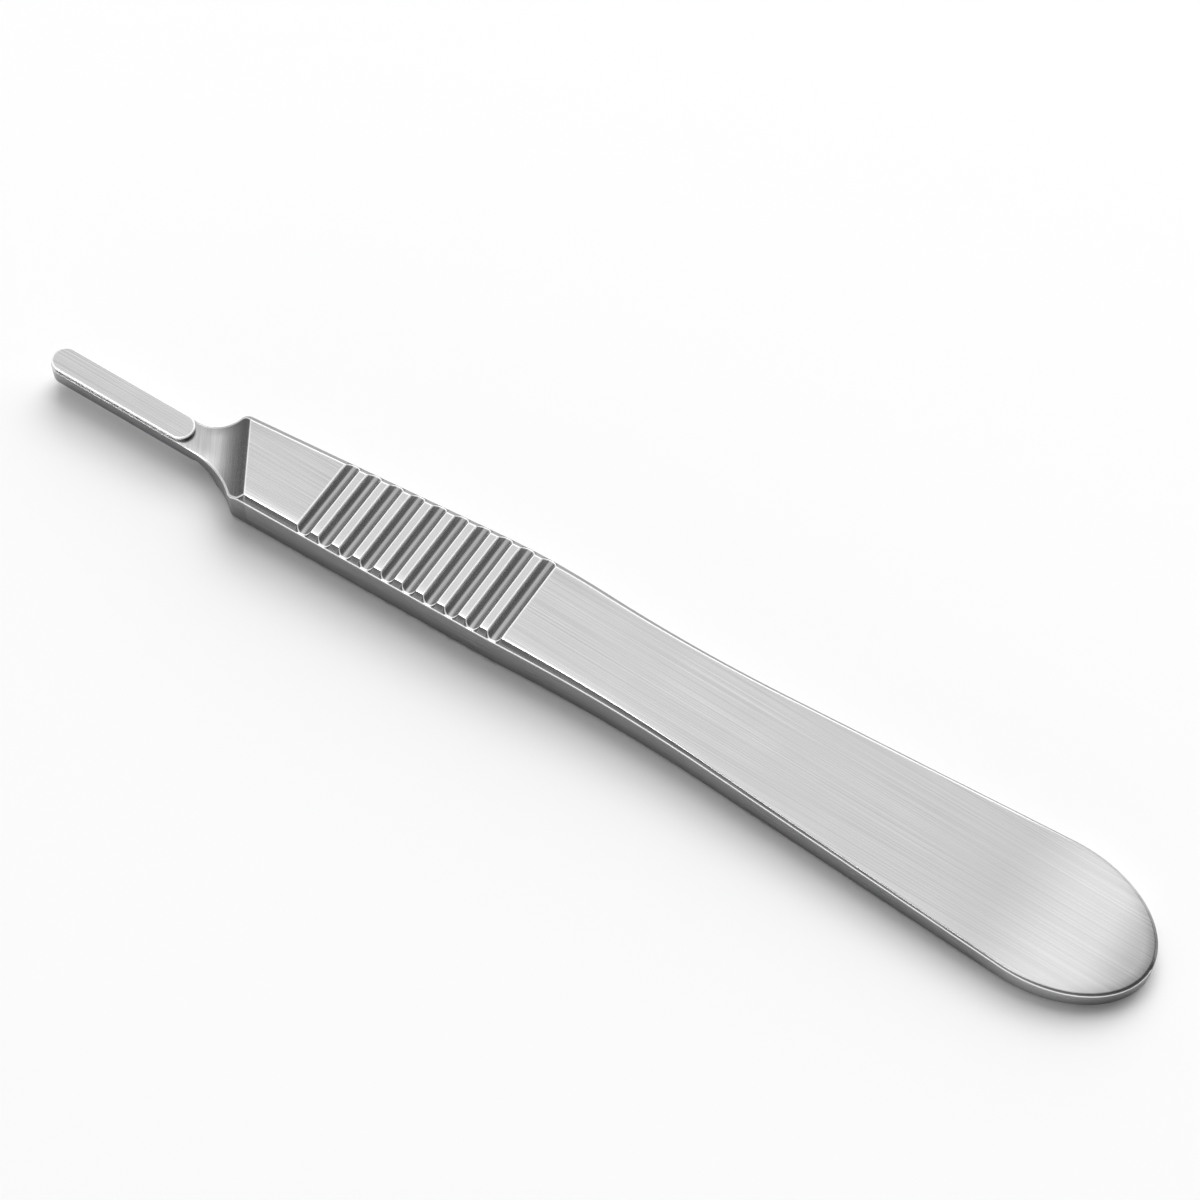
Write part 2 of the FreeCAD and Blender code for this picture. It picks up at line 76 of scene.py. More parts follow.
# %% Sizes of the outline
OUTWARD = {"near": -1, "far": 1}
FRONT = {"near": 6.00, "far": 2.98}
GRIP = {"near": 5.58, "far": 5.02}
NECK_START = {"near": 18.4, "far": 16.65}
NECK_RADIUS = {"near": 9.4, "far": 4.75}
FRONT_STATION, GRIP_STATION = 26.3, 51.0
CORNER_RADIUS, GRIP_RADIUS, WAIST_RADIUS = 1.1, 110.0, 190.0
WAIST_STATION, WAIST_WIDTH = 69.0, 10.08
BUTT_REACH, BUTT_WIDTH = 11.0, 14.95
FITTING_Y, FITTING_HALF = -1.99, 1.55
print("width at the front corner, mm:", sum(FRONT.values()), "and at the butt:", BUTT_WIDTH)


# %% Arcs that touch
ARC_STEPS = 200


def touching_round(line, radius, hollow, hollow_radius, direction):
    """Centre of the round that touches a straight edge from inside and a hollow from outside."""
    height, slope = line
    steep = math.hypot(1, slope)
    drop = height + slope * hollow[0] - radius * steep - hollow[1]
    reach = radius + hollow_radius
    root = math.sqrt((drop * slope) ** 2 - steep ** 2 * (drop ** 2 - reach ** 2))
    offset = (direction * root - drop * slope) / steep ** 2
    return np.array([hollow[0] + offset, hollow[1] + drop + slope * offset])


def foot_on(line, centre):
    """The point of a straight edge that lies nearest to a centre."""
    height, slope = line
    x = (centre[0] + slope * (centre[1] - height)) / (1 + slope ** 2)
    return np.array([x, height + slope * x])


def on_the_way(first, second, distance):
    return first + (second - first) / np.linalg.norm(second - first) * distance


def arc_points(centre, start, end):
    """The shorter arc about a centre, from start to end."""
    first = math.atan2(*(start - centre)[::-1])
    turn = (math.atan2(*(end - centre)[::-1]) - first + math.pi) % math.tau - math.pi
    angles = first + turn * np.linspace(0, 1, ARC_STEPS)
    radius = np.linalg.norm(start - centre)
    return centre + radius * np.stack([np.cos(angles), np.sin(angles)], 1)


# %% The straight flare to the butt
FLARE_TRIES, BUTT_STEPS = 60, 400


def flare_slope(side):
    """Slope of the flare that touches the waist hollow and the half ellipse of the butt."""
    slope = 0.0
    for _ in range(FLARE_TRIES):
        ellipse_rise = math.hypot(BUTT_REACH * slope, BUTT_WIDTH / 2)
        hollow_rise = WAIST_RADIUS * (math.hypot(1, slope) - 1)
        rise = OUTWARD[side] * BUTT_OFFSET + ellipse_rise + hollow_rise - WAIST_WIDTH / 2
        slope = rise / (LENGTH - BUTT_REACH - WAIST_STATION)
    return slope


def butt_arc(side, slope):
    """Quarter of the ellipse, from the end of the flare to the end of the butt."""
    start = -math.atan2(BUTT_REACH * slope, BUTT_WIDTH / 2)
    turn = np.linspace(start, math.pi / 2, BUTT_STEPS)
    x = LENGTH - BUTT_REACH + BUTT_REACH * np.sin(turn)
    return np.stack([x, OUTWARD[side] * BUTT_OFFSET + BUTT_WIDTH / 2 * np.cos(turn)], 1)


print("slope of the flare:", {side: round(flare_slope(side), 4) for side in OUTWARD})

# %% One side, sampled evenly
SAMPLE_STEP = 0.02


def side_chain(side):
    """The arcs and lines of one side, from the tip to the end of the butt."""
    slope = (GRIP[side] - FRONT[side]) / (GRIP_STATION - FRONT_STATION)
    line = (FRONT[side] - slope * FRONT_STATION, slope)
    fitting_side = FITTING_HALF + OUTWARD[side] * FITTING_Y
    tip = np.array([FITTING_HALF, fitting_side - FITTING_HALF])
    neck = np.array([NECK_START[side], fitting_side + NECK_RADIUS[side]])
    corner = touching_round(line, CORNER_RADIUS, neck, NECK_RADIUS[side], 1)
    meeting = on_the_way(neck, corner, NECK_RADIUS[side])
    waist = np.array([WAIST_STATION, WAIST_WIDTH / 2 + WAIST_RADIUS])
    grip = touching_round(line, GRIP_RADIUS, waist, WAIST_RADIUS, -1)
    waist_start = on_the_way(waist, grip, WAIST_RADIUS)
    flare = flare_slope(side)
    waist_end = waist + np.array([flare, -1]) / math.hypot(1, flare) * WAIST_RADIUS
    return np.concatenate([
        arc_points(tip, tip - [FITTING_HALF, 0], tip + [0, FITTING_HALF]),
        arc_points(neck, neck - [0, NECK_RADIUS[side]], meeting),
        arc_points(corner, meeting, foot_on(line, corner)),
        arc_points(grip, foot_on(line, grip), waist_start),
        arc_points(waist, waist_start, waist_end),
        butt_arc(side, flare),
    ])


def side_outline(side):
    """Even points of one side, and the way in from the side at each."""
    chain = side_chain(side)
    run = np.concatenate([[0], np.cumsum(np.linalg.norm(np.diff(chain, axis=0), axis=1))])
    even = np.append(np.arange(0, run[-1] - SAMPLE_STEP / 2, SAMPLE_STEP), run[-1])
    points = np.stack([np.interp(even, run, chain[:, axis]) for axis in (0, 1)], 1)
    along = np.gradient(points, axis=0)
    inward = np.stack([along[:, 1], -along[:, 0]], 1) / np.linalg.norm(along, axis=1)[:, None]
    inward[0], inward[-1] = (1, 0), (-1, 0)
    return points * [1, OUTWARD[side]], inward * [1, OUTWARD[side]]


outline = {side: side_outline(side) for side in OUTWARD}
print("outline points:", {side: len(points) for side, (points, _) in outline.items()})

# %% [markdown]
# ## Heights along the handle
# Four cuts give the bar its side view: the long hollow slope of the tail, the scoop in front of the shoulder,
# the relief under the root of the fitting, and the ground edges. Each could be cut with a Boolean, but a
# height worked out for any station needs no cutting, and its creases can be soft. The scoop and the relief
# were cut along the slanted shoulder edge, so their heights depend on the distance ahead of that edge.

# %% Soft steps and soft creases
def smooth_step(start, end, value):
    """0 up to start, 1 from end on, and an even curve between."""
    share = np.clip((value - start) / (end - start), 0, 1)
    return share * share * (3 - 2 * share)


def soft_min(first, second, width):
    """The lower of two heights, with a small round where they cross."""
    overlap = np.maximum(width - np.abs(first - second), 0) / width
    return np.minimum(first, second) - overlap ** 2 * width / 4


# %% Heights of the top, the scoop and the relief
TOP, SLOPE_START, BUTT_TOP, HOLLOW = 4.95, 55.8, 2.35, 0.17
SEAT, SCOOP_RADIUS, SCOOP_REACH = 3.30, 8.0, 4.866
RELIEF_RADIUS, RELIEF_REACH, RELIEF_TOP = 2.4, 5.7, 1.70


def top_height(station):
    """Height of the flat top of the grip and of the hollow slope behind it."""
    span = LENGTH - SLOPE_START
    share = np.clip((station - SLOPE_START) / span, 0, 1)
    return TOP + (BUTT_TOP - TOP) * share - 4 * HOLLOW * share * (1 - share)


def scoop_height(ahead):
    reach = np.clip(SCOOP_REACH - ahead, 0, SCOOP_RADIUS)
    return SEAT + SCOOP_RADIUS - np.sqrt(SCOOP_RADIUS ** 2 - reach ** 2)


def relief_height(ahead):
    reach = np.clip(RELIEF_REACH - ahead, 0, RELIEF_RADIUS)
    return RELIEF_TOP - RELIEF_RADIUS + np.sqrt(RELIEF_RADIUS ** 2 - reach ** 2)


# %% All heights at one station
SHOULDER_STATION, SHOULDER_SLANT = 24.33, math.radians(31.7)
FITTING_LENGTH, FITTING_BOTTOM, ROOT_FADE = 17.55, 1.50, 0.1
BEVEL_FOOT, BEVEL_FALL, UNDER_BEVEL = 4.33, 0.03223, 0.30
CREASE = 0.07


def heights(station):
    """Top, underside and foot of the ground edge on the cross line that leaves the centre line here."""
    ahead = (SHOULDER_STATION - station) * math.cos(SHOULDER_SLANT)
    top = soft_min(top_height(station), scoop_height(ahead), CREASE)
    behind_fitting = smooth_step(FITTING_LENGTH - ROOT_FADE, FITTING_LENGTH + ROOT_FADE, station)
    under = -soft_min(-relief_height(ahead), 0, CREASE)
    under -= (RELIEF_TOP - FITTING_BOTTOM) * (1 - behind_fitting)
    foot = BEVEL_FOOT - BEVEL_FALL * np.maximum(station - SLOPE_START, 0)
    return top, under, foot


for name, station in (("seat", 10.0), ("grip", 40.0), ("butt", LENGTH)):
    print("top of the", name, "in mm:", round(float(heights(station)[0]), 2))

# %% [markdown]
# ## A skin of rungs and columns
# The bar is skinned like a ladder. Each rung is a cross section, and the columns run from the tip to the butt
# along the same line of the form: underside, wall, ground edge, top. A box with bevels would be quicker, but
# its faces get ragged where the bevels run out. Here each ground edge and each small round is one clean strip
# of faces that catches the light in one line. Around the shoulder the rungs turn to its slant, and they stand
# closest where the form bends most: at the ends, the shoulder and the grooves.

# %% Where the rungs stand
GROOVE_COUNT, GROOVE_PITCH, GROOVE_FIRST = 10, 2.464, 33.6
HALF_GROOVE = [0.0, 0.1, 0.2, 0.3, 0.39, 0.47, 0.54, 0.60, 0.65, 0.69, 0.72, 0.74, 0.755, 0.77, 0.785, 0.80,
               0.82, 0.85, 0.95, 1.08]
HALF_SHOULDER = [0.0, 0.03, 0.06, 0.1, 0.2, 0.4]
ROOT_REACH, ROOT_RUNGS, TIP_RUNGS, BUTT_RUNGS = 0.12, 7, 26, 60
BEHIND_GROOVES = 0.3


def both_ways(offsets):
    """Offsets to one side of a middle, mirrored to the other side as well."""
    return np.array([-offset for offset in offsets[:0:-1]] + offsets)


grooves = np.concatenate([
    GROOVE_FIRST + number * GROOVE_PITCH + both_ways(HALF_GROOVE) for number in range(GROOVE_COUNT)
])
even_stretches = ((2.0, 14.0, 0.75), (14.0, 26.5, 0.13), (26.5, 32.4, 0.3),
                  (grooves[-1] + BEHIND_GROOVES, 104.0, 0.8), (104.0, 114.0, 0.4))
stations = np.unique(np.round(np.concatenate([
    FITTING_HALF * (1 - np.cos(np.linspace(0, math.pi / 2, TIP_RUNGS))),
    *[np.arange(start, end, gap) for start, end, gap in even_stretches],
    FITTING_LENGTH + np.linspace(-ROOT_REACH, ROOT_REACH, ROOT_RUNGS),
    SHOULDER_STATION + both_ways(HALF_SHOULDER),
    grooves,
    LENGTH - BUTT_REACH + BUTT_REACH * np.sin(np.linspace(0, math.pi / 2, BUTT_RUNGS)),
]), 4))
print(len(stations), "rungs, the longest gap", round(float(np.diff(stations).max()), 2), "mm")

# %% How far the rungs turn
TURN_IN, TURN_BACK = (9.0, 17.0), (25.0, 32.0)

slants = SHOULDER_SLANT * smooth_step(*TURN_IN, stations) * (1 - smooth_step(*TURN_BACK, stations))
print("rungs that are turned:", int((slants > 0).sum()))

# %% A ground edge with its two rounds
ROUND_TANGENT = math.tan(math.pi / 8)
ROUND_SHARES, FACE_SHARES = (0, 1 / 3, 2 / 3, 1), (0.06, 0.5, 0.94)


def edge_round(height, foot, lower, upper):
    """Inset, height and top share of the points of a ground edge with a lower and an upper round."""
    low = np.minimum(foot - lower * ROUND_TANGENT, height - lower)
    out = np.maximum(height - foot + upper * ROUND_TANGENT, upper)
    lower_round, upper_round = [], []
    for share in ROUND_SHARES:
        turn = share * math.pi / 4
        lower_round.append((lower - lower * np.cos(turn), low + lower * np.sin(turn), 0.0))
    for share in ROUND_SHARES:
        turn = (1 + share) * math.pi / 4
        upper_round.append((out - upper * np.cos(turn), height - upper + upper * np.sin(turn), 1.0))
    ends = list(zip(lower_round[-1], upper_round[0]))
    face = [tuple((1 - share) * first + share * last for first, last in ends) for share in FACE_SHARES]
    return lower_round + face + upper_round


# %% The cross section of one side
UNDER_ROUND, ROLL_WIDTH, ROLL_DROP = 0.12, 1.0, 0.035
WALL_SHARES, ROLL_SHARES = (0.04, 0.35, 0.65, 0.96), (0.12, 0.3, 0.52, 0.76, 1.0)


def section(top, under, foot, lower, upper):
    """Columns of one side from the underside to the top: inset, height, top share and underside share."""
    low = [(inset, -height, 0.0, share)
           for inset, height, share in edge_round(-under, -UNDER_BEVEL, UNDER_ROUND, UNDER_ROUND)]
    high = [(inset, height - ROLL_DROP * share, share, 0.0)
            for inset, height, share in edge_round(top, foot, lower, upper)]
    wall = [(0.0, (1 - share) * low[0][1] + share * high[0][1], 0.0, 0.0) for share in WALL_SHARES]
    edge = high[-1][0]
    roll = [(edge + share * ROLL_WIDTH, top - ROLL_DROP * (1 - share) ** 2, 1.0, 0.0)
            for share in ROLL_SHARES]
    return low[::-1] + wall + high + roll


# %% Where a rung meets a side
RUNG_REACH = 5.0
TIP_END, BUTT_END = (2.5, 5.0), (100.0, 108.0)


def crossings(points, inward, station, slant, inset):
    """Where one side, moved in by the inset, meets the rung, and the cross part of the way in there."""
    first, last = np.searchsorted(points[:, 0], (station - RUNG_REACH, station + RUNG_REACH))
    points, inward = points[first:last], inward[first:last]
    facing = np.array([math.cos(slant), math.sin(slant)])
    start = (points - [station, FITTING_Y]) @ facing
    place = np.arange(len(points))
    on_side = np.interp(0, start, place)
    on_rung = np.interp(0, start + inset * (inward @ facing), place)
    near_ends = max(1 - smooth_step(*TIP_END, station), smooth_step(*BUTT_END, station))
    found = np.zeros(4)
    for where, weight in ((on_side, near_ends), (on_rung, 1 - near_ends)):
        there = [np.interp(where, place, values) for values in (*points.T, *inward.T)]
        found += weight * np.array(there)
    spot, way_in = found[:2], found[2:]
    return spot + inset * way_in, way_in[1]


# %% [markdown]
# ## What each point knows about itself
# The real bar shows where each tool has been: brushed sides, ground edges and small rounds. The colour adds
# painted shade on the sides and the ground edges and painted highlights on the rounds. Those places could be
# painted on a picture, but then they would drift off the form. The skin keeps a few numbers at each point
# instead: how far the point follows the top or the underside when a groove is cut there, the way in from the
# side, and masks for the finishes and for the painted light and shade, among them the ridges between the
# grooves. The groove cutter and the steel read them by name.

# %% Finish, painted highlight and painted shade of each column
STRIPS = {"under round": 4, "under face": 3, "wall foot": 4, "wall": 4, "lower round": 4, "ground face": 3,
          "upper round": 4, "roll": 5}


def by_column(values):
    """One number for each column, from the numbers of some strips."""
    return [number for strip, count in STRIPS.items() for number in values.get(strip, (0,) * count)]


# Painted highlight: the rounds marked here get a lighter, less metallic colour, and a little less roughness.
HIGHLIGHT_BY_COLUMN = {
    "near": by_column({"lower round": (1, 1, 1, 1), "ground face": (0.2, 0, 0),
                       "upper round": (0, 1, 1, 1)}),
    "far": by_column({"upper round": (0, 1, 1, 1)}),
}
# Painted shade: a darker colour on the ground faces, the lower near wall and the whole far edge.
SHADE_BY_COLUMN = {
    "near": by_column({"wall foot": (0, 0, 0.8, 0.8), "wall": (0.5, 0.15, 0, 0), "ground face": (0, 0.3, 0.8),
                       "upper round": (0.6, 0, 0, 0)}),
    "far": by_column({"wall": (0, 0, 0, 1), "lower round": (1, 1, 1, 1), "ground face": (1, 1, 1),
                      "upper round": (1, 0, 0, 0)}),
}
SIDE = by_column({"wall foot": (1, 1, 1, 1), "wall": (1, 1, 1, 1)})
UPPER = by_column({"upper round": (1, 1, 1, 1)})
print("columns of one side:", len(SIDE))

# %% One side of a rung
FITTING_ROUND, TOP_ROUND, ROUND_RISE = 0.02, 0.15, (16.0, 19.0)
# The painted highlights are weaker on the fitting and grow towards the grip.
FITTING_HIGHLIGHT, HIGHLIGHT_RISE = 0.35, (16.0, 26.0)
# Towards the butt the upper round gets smaller and loses its painted highlight for a painted dark line.
CRISP_FROM = {"near": (60.0, 84.0), "far": (106.0, 118.0)}
CRISP_LOSS, CRISP_SHADE = 0.7, 0.9


def rung_side(side, station, slant):
    """Points of one side of a rung, from the underside to the top. Towards the butt its edge gets crisp, with
    a painted dark line in place of its painted highlight.
    """
    crisp = float(smooth_step(*CRISP_FROM[side], station))
    lower = FITTING_ROUND + (TOP_ROUND - FITTING_ROUND) * float(smooth_step(*ROUND_RISE, station))
    highlight_share = FITTING_HIGHLIGHT + (1 - FITTING_HIGHLIGHT) * float(smooth_step(*HIGHLIGHT_RISE, station))
    columns = section(*heights(station), lower, lower * (1 - CRISP_LOSS * crisp))
    row = []
    for position, (inset, height, top_share, under_share) in enumerate(columns):
        spot, inward_y = crossings(*outline[side], station, slant, float(inset))
        height = height + top_share * (top_height(spot[0]) - top_height(station))
        painted_highlight, ground = HIGHLIGHT_BY_COLUMN[side][position] * highlight_share, SHADE_BY_COLUMN[side][position]
        if UPPER[position]:
            painted_highlight, ground = painted_highlight * (1 - crisp), max(ground, crisp * CRISP_SHADE)
        row.append((*spot, height, top_share, under_share, inward_y, painted_highlight, ground, SIDE[position]))
    return row


# %% A whole rung
FIELDS = ("x", "y", "height", "top_share", "under_share", "inward_y", "painted_highlight", "painted_shade", "side")
HEIGHT, TOP_SHARE, INWARD_Y = (FIELDS.index(name) for name in ("height", "top_share", "inward_y"))
TOP_STEPS, UNDER_STEPS = 12, 6


def inside(first, last, steps, station):
    """Points of a flat face between its two edges. They have no way in and no finish of their own."""
    first, last = np.array(first), np.array(last)
    row = []
    for step in range(1, steps):
        point = first + (last - first) * step / steps
        if first[TOP_SHARE]:
            point[HEIGHT] = heights(station)[0] + top_height(point[0]) - top_height(station)
        point[INWARD_Y:] = 0
        row.append(tuple(point))
    return row


def rung(station, slant):
    """All points of one rung in ring order."""
    far, near = (rung_side(side, station, slant) for side in ("far", "near"))
    top = inside(far[-1], near[-1], TOP_STEPS, station)
    under = inside(near[0], far[0], UNDER_STEPS, station)
    return far + top + near[::-1] + under


rungs = np.array([rung(station, slant) for station, slant in zip(stations, slants)])
print("skin:", rungs.shape[0], "rungs of", rungs.shape[1], "points")

# %% Turn points into a mesh
MERGE = 0.0004


def ring_faces(rows, columns):
    """Faces between rings of points, where each ring closes on itself."""
    return [(row * columns + column, row * columns + (column + 1) % columns,
             (row + 1) * columns + (column + 1) % columns, (row + 1) * columns + column)
            for row in range(rows - 1) for column in range(columns)]


def add_piece(name, points, faces, numbers):
    """A mesh object with its numbers at the points, merged at its poles and facing outward."""
    mesh = bpy.data.meshes.new(name)
    mesh.from_pydata([tuple(point) for point in to_scene(points)], [], faces)
    for attribute, values in numbers.items():
        layer = mesh.attributes.new(attribute, "FLOAT", "POINT")
        layer.data.foreach_set("value", np.ascontiguousarray(values, np.float32))
    shape = bmesh.new()
    shape.from_mesh(mesh)
    bmesh.ops.remove_doubles(shape, verts=shape.verts, dist=MERGE * MILLIMETRE)
    bmesh.ops.dissolve_degenerate(shape, edges=shape.edges, dist=MERGE * MILLIMETRE)
    bmesh.ops.recalc_face_normals(shape, faces=shape.faces)
    shape.to_mesh(mesh)
    open_edges = sum(not edge.is_manifold for edge in shape.edges)
    shape.free()
    mesh.shade_smooth()
    piece = bpy.data.objects.new(name, mesh)
    bpy.context.scene.collection.objects.link(piece)
    print(name, len(mesh.polygons), "faces, open edges:", open_edges)
    return piece


# %% The skin of the bar
# A painted highlight along the shoulder edge.
SHOULDER_LINE, SHOULDER_HIGHLIGHT = (0.02, 0.11), 0.8
SCOOP_FADE, ABOVE_UNDERSIDE = 0.05, 1.0

field = dict(zip(FIELDS, rungs.reshape(-1, len(FIELDS)).T))
ahead = (field["x"] - SHOULDER_STATION) * -math.cos(SHOULDER_SLANT)
ahead -= (field["y"] - FITTING_Y) * math.sin(SHOULDER_SLANT)
shoulder = field["top_share"] * (1 - smooth_step(*SHOULDER_LINE, abs(ahead))) * SHOULDER_HIGHLIGHT
scooped = smooth_step(-SCOOP_FADE, SCOOP_FADE, ahead) * (field["height"] > ABOVE_UNDERSIDE)
in_grip = abs(field["x"] - (grooves[0] + grooves[-1]) / 2) < (grooves[-1] - grooves[0]) / 2
places = np.column_stack([field["x"], field["y"], field["height"]])
bar = add_piece("handle_bar", places, ring_faces(*rungs.shape[:2]), {
    "top_share": field["top_share"],
    "under_share": field["under_share"],
    "inward_y": field["inward_y"],
    "rounded": np.maximum(field["painted_highlight"], shoulder),
    "painted_shade": field["painted_shade"],
    "side": field["side"],
    "scooped": scooped,
    "ridged": field["top_share"] * in_grip,
})

# %% [markdown]
# ## Node trees as sums
# The groove cutter and the steel are both node trees. A long tree is hard to read as boxes and links, so a
# small class stands for one value in a tree. Sums on it add the Math nodes, and one function adds any other
# node from its type, its settings and what goes into its sockets.

# %% Add a node
def plug_in(tree, socket, value):
    if isinstance(value, Flow):
        tree.links.new(value.socket, socket)
    else:
        socket.default_value = value


def find_socket(sockets, key):
    if isinstance(key, int):
        return sockets[key]
    return next(socket for socket in sockets if key in (socket.identifier, socket.name))


def add_node(tree, kind, settings=(), inputs=(), output=0):
    """Add a node: its settings first, then what goes into its sockets. Returns one output, if it has any."""
    node = tree.nodes.new(kind)
    for name, value in dict(settings).items():
        setattr(node, name, value)
    for key, value in dict(inputs).items():
        plug_in(tree, find_socket(node.inputs, key), value)
    return Flow(tree, find_socket(node.outputs, output)) if len(node.outputs) else None


# %% One value in a node tree
class Flow:
    """A value on its way through a node tree."""

    def __init__(self, tree, socket):
        self.tree, self.socket = tree, socket

    def math(self, operation, *others):
        kind = "ShaderNodeMath"
        return add_node(self.tree, kind, {"operation": operation}, dict(enumerate((self, *others))))

    def __add__(self, other):
        return self.math("ADD", other)

    def __sub__(self, other):
        return self.math("SUBTRACT", other)

    def __rsub__(self, other):
        return (self * -1) + other

    def __mul__(self, other):
        return self.math("MULTIPLY", other)

    def __truediv__(self, other):
        return self.math("DIVIDE", other)

    def __pow__(self, other):
        return self.math("POWER", other)

    __radd__, __rmul__ = __add__, __mul__

    def at_least(self, other):
        return self.math("MAXIMUM", other)

    def at_most(self, other):
        return self.math("MINIMUM", other)

    def step(self, start, end):
        """0 up to start, 1 from end on, and an even curve between. It falls where end is the lower one."""
        if start > end:
            return 1.0 - self.step(end, start)
        settings = {"interpolation_type": "SMOOTHSTEP", "clamp": True}
        return add_node(self.tree, "ShaderNodeMapRange", settings,
                        {"Value": self, "From Min": start, "From Max": end})


# %% [markdown]
# ## Ten grooves from one rule
# The fingers hold the grip by ten round-bottomed grooves, milled straight across at one pitch. They could be
# cut with ten cylinders, but a Boolean leaves ragged faces along the ground edge. Here a Geometry Nodes tree
# lowers the skin instead: the depth of the round cutter at each station pushes the points of the top down,
# and pulls the points of the ground edge down its slope, so each groove breaks out on the edge in a clean
# curve. The tree also marks the rims of the grooves, which get a painted highlight. The underside has the
# same grooves, only shallower. Pitch, count, radius and depth are inputs.

# %% Depth and rim of the nearest groove
RIM_OUT, RIM_FADE = 0.3, (1.2, 0.5)


def cutter_depth(along, size, depth):
    """Depth of the nearest groove at this place along the handle, with a soft upper edge, and its rim."""
    radius, soft = size["Cutter radius"], size["Edge round"]
    number = ((along - size["First groove"]) / size["Pitch"]).math("ROUND")
    number = number.at_least(0.0).at_most(size["Count"] - 1.0)
    off_centre = along - size["First groove"] - number * size["Pitch"]
    cut = (radius ** 2.0 - off_centre ** 2.0).at_least(0.0) ** 0.5 - (radius - depth)
    overlap = (soft - cut.math("ABSOLUTE")).at_least(0.0)
    half_width = (radius ** 2.0 - (radius - depth) ** 2.0) ** 0.5
    from_rim = (off_centre.math("ABSOLUTE") - half_width - soft * RIM_OUT).math("ABSOLUTE")
    return cut.at_least(0.0) + overlap ** 2.0 / (soft * 4.0), (from_rim / soft).step(*RIM_FADE)


# %% Numbers that the tree reads and keeps
def named(tree, name):
    return add_node(tree, "GeometryNodeInputNamedAttribute", {"data_type": "FLOAT"}, {"Name": name})


def keep_number(tree, geometry, name, value):
    return add_node(tree, "GeometryNodeStoreNamedAttribute", {"data_type": "FLOAT", "domain": "POINT"},
                    {"Geometry": geometry, "Name": name, "Value": value})


# %% The groove cutter
GROOVE_SIZES = {
    "First groove": (GROOVE_FIRST - LENGTH / 2) * MILLIMETRE,
    "Pitch": GROOVE_PITCH * MILLIMETRE,
    "Count": float(GROOVE_COUNT),
    "Cutter radius": 0.8552 * MILLIMETRE,
    "Top depth": 0.54 * MILLIMETRE,
    "Underside depth": 0.26 * MILLIMETRE,
    "Edge round": 0.09 * MILLIMETRE,
}
RIM_END = (0.5, 0.0)


def groove_tree(steel):
    """The tree that cuts the grooves. The rims end where the ground edge begins."""
    tree = bpy.data.node_groups.new("groove_cutter", "GeometryNodeTree")
    tree.interface.new_socket("Bar", in_out="INPUT", socket_type="NodeSocketGeometry")
    tree.interface.new_socket("Grooved bar", in_out="OUTPUT", socket_type="NodeSocketGeometry")
    for name in GROOVE_SIZES:
        tree.interface.new_socket(name, in_out="INPUT", socket_type="NodeSocketFloat")
    entry = tree.nodes.new("NodeGroupInput")
    size = {name: Flow(tree, entry.outputs[name]) for name in GROOVE_SIZES}
    place = add_node(tree, "GeometryNodeInputPosition")
    along = add_node(tree, "ShaderNodeSeparateXYZ", (), {0: place}, "X")
    top_share = named(tree, "top_share")
    cut, rim = cutter_depth(along, size, size["Top depth"])
    top = cut * top_share
    under = cutter_depth(along, size, size["Underside depth"])[0] * named(tree, "under_share")
    sideways = (top + under) * -1.0 * named(tree, "inward_y").math("SIGN")
    shift = add_node(tree, "ShaderNodeCombineXYZ", (), {"X": 0.0, "Y": sideways, "Z": under - top})
    bar = add_node(tree, "GeometryNodeSetPosition", (),
                   {"Geometry": Flow(tree, entry.outputs["Bar"]), "Offset": shift})
    bar = keep_number(tree, bar, "groove_depth", top / size["Top depth"])
    bar = keep_number(tree, bar, "groove_rim", rim * top_share * named(tree, "painted_shade").step(*RIM_END))
    bar = add_node(tree, "GeometryNodeRealizeInstances", (), {"Geometry": bar})
    bar = add_node(tree, "GeometryNodeSetMaterial", (), {"Geometry": bar, "Material": steel})
    add_node(tree, "NodeGroupOutput", (), {"Grooved bar": bar})
    return tree


# %% Run the groove cutter
GROOVE_FLOOR = 0.99


def cut_grooves(piece, tree):
    """Run the tree on a piece and keep the result as its plain mesh."""
    cutter = piece.modifiers.new("groove_cutter", "NODES")
    cutter.node_group = tree
    for item in tree.interface.items_tree:
        if item.name in GROOVE_SIZES:
            cutter[item.identifier] = GROOVE_SIZES[item.name]
    graph = bpy.context.evaluated_depsgraph_get()
    shown = piece.evaluated_get(graph)
    cut = bpy.data.meshes.new_from_object(shown, preserve_all_data_layers=True, depsgraph=graph)
    piece.modifiers.remove(cutter)
    piece.data = cut
    cut.name = piece.name
    depth = np.zeros(len(cut.vertices), np.float32)
    cut.attributes["groove_depth"].data.foreach_get("value", depth)
    print(piece.name, "grooved:", int((depth > GROOVE_FLOOR).sum()), "points on the groove floors")


# %% [markdown]
# ## Brushed steel
# The handle is one stainless steel all over, but each cut left its own grain: long brushing along the top
# and in the sides, strokes along the shoulder edge in the scoop, and fine cross lines in the grooves. A
# picture of brushed steel would blur at this size, so noise stretched along the grain makes the strokes. They
# feed the colour, the bump and the roughness, so the highlights break up along the grain as on real brushed
# steel. One material shows all finishes, with the masks of the skin. The colour also paints light and shade:
# painted highlights on the rounds and rims, which are less metallic as well, so they scatter the light that
# falls on them and show as bright lines; painted shade on the sides, the ground edges, the grooves and the
# slot; and a painted highlight on the tail before painted shade at the end of the butt, which the room alone
# doesn't bring out.

# %% Strokes of one kind
NOISE_MIDDLE = 0.5


